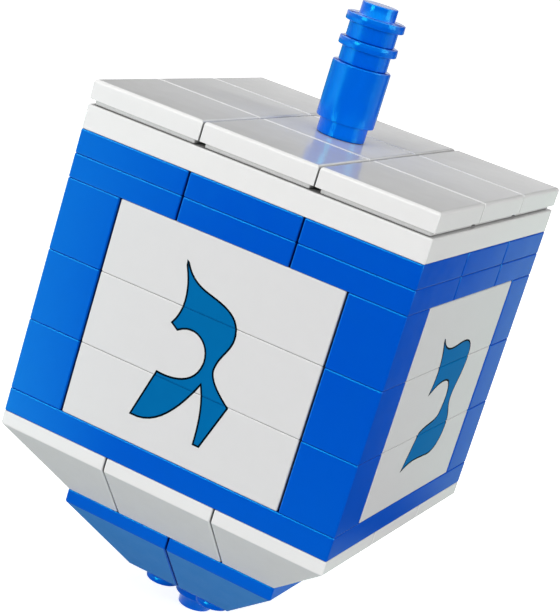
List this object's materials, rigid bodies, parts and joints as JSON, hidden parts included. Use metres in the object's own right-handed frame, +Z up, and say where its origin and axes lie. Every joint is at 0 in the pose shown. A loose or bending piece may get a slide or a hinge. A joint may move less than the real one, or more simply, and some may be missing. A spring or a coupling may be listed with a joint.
{
  "type": "dreidel",
  "caption": "Four-sided spinning top built from interlocking plastic bricks, with panels between corner posts, stepped sloping underside, round grip and a stud for a tip.",
  "frame": {"origin": "centre of the tip's end, on the spin axis, where the dreidel meets the table", "axes": "+Z up the spin axis to the grip; the front side faces -Y and the right side faces +X"},
  "size_m": [0.0478, 0.0478, 0.0866],
  "materials": {
    "white_plastic": "gloss",
    "blue_plastic": "gloss",
    "black_plastic": "gloss",
    "letter_ink": "satin pad print",
    "letter_outline": "satin pad print"
  },
  "bodies": {
    "block": {"tile_right": "white_plastic", "tile_back": "white_plastic", "tile_left": "white_plastic", "tile_front": "white_plastic", "tile_back_right": "white_plastic", "tile_back_left": "white_plastic", "tile_front_left": "white_plastic", "tile_front_right": "white_plastic", "jumper_tile": "white_plastic", "top_plate": "white_plastic", "bottom_panel_right": "white_plastic", "bottom_panel_back": "white_plastic", "bottom_panel_left": "white_plastic", "bottom_panel_front": "white_plastic", "middle_panel_right": "white_plastic", "middle_panel_back": "white_plastic", "middle_panel_left": "white_plastic", "middle_panel_front": "white_plastic", "top_panel_right": "white_plastic", "top_panel_back": "white_plastic", "top_panel_left": "white_plastic", "top_panel_front": "white_plastic", "outer_slope_right": "white_plastic", "outer_slope_back": "white_plastic", "outer_slope_left": "white_plastic", "outer_slope_front": "white_plastic", "outer_slope_back_right": "white_plastic", "outer_slope_back_left": "white_plastic", "outer_slope_front_left": "white_plastic", "outer_slope_front_right": "white_plastic", "core_brick": "white_plastic", "upper_plate_right": "blue_plastic", "upper_plate_back": "blue_plastic", "upper_plate_left": "blue_plastic", "upper_plate_front": "blue_plastic", "upper_plate_back_right": "blue_plastic", "upper_plate_back_left": "blue_plastic", "upper_plate_front_left": "blue_plastic", "upper_plate_front_right": "blue_plastic", "lower_plate_back_right": "blue_plastic", "lower_plate_back_left": "blue_plastic", "lower_plate_front_left": "blue_plastic", "lower_plate_front_right": "blue_plastic", "lower_side_plates": "blue_plastic", "bottom_corner_bricks": "blue_plastic", "middle_corner_bricks": "blue_plastic", "top_corner_bricks": "blue_plastic", "base_plate": "blue_plastic", "inner_slope_back_right": "blue_plastic", "inner_slope_back_left": "blue_plastic", "inner_slope_front_left": "blue_plastic", "inner_slope_front_right": "blue_plastic", "upper_axle_brick": "blue_plastic", "lower_axle_brick": "blue_plastic", "axle": "black_plastic"},
    "grip": {"grip_brick": "blue_plastic"},
    "lower_ring": {"lower_disc": "blue_plastic"},
    "upper_ring": {"upper_disc": "blue_plastic"},
    "tip": {"tip_peg": "blue_plastic"}
  },
  "joints": [
    {"name": "grip_turn", "type": "hinge", "parent": "block", "child": "grip", "pos_m": [0, 0, 0.0689], "axis": [0, 0, 1], "continuous": true},
    {"name": "lower_disc_turn", "type": "hinge", "parent": "grip", "child": "lower_ring", "pos_m": [0, 0, 0.0785], "axis": [0, 0, 1], "continuous": true},
    {"name": "upper_disc_turn", "type": "hinge", "parent": "lower_ring", "child": "upper_ring", "pos_m": [0, 0, 0.0817], "axis": [0, 0, 1], "continuous": true},
    {"name": "tip_turn", "type": "hinge", "parent": "block", "child": "tip", "pos_m": [0, 0, 0.0049], "axis": [0, 0, 1], "continuous": true}
  ]
}
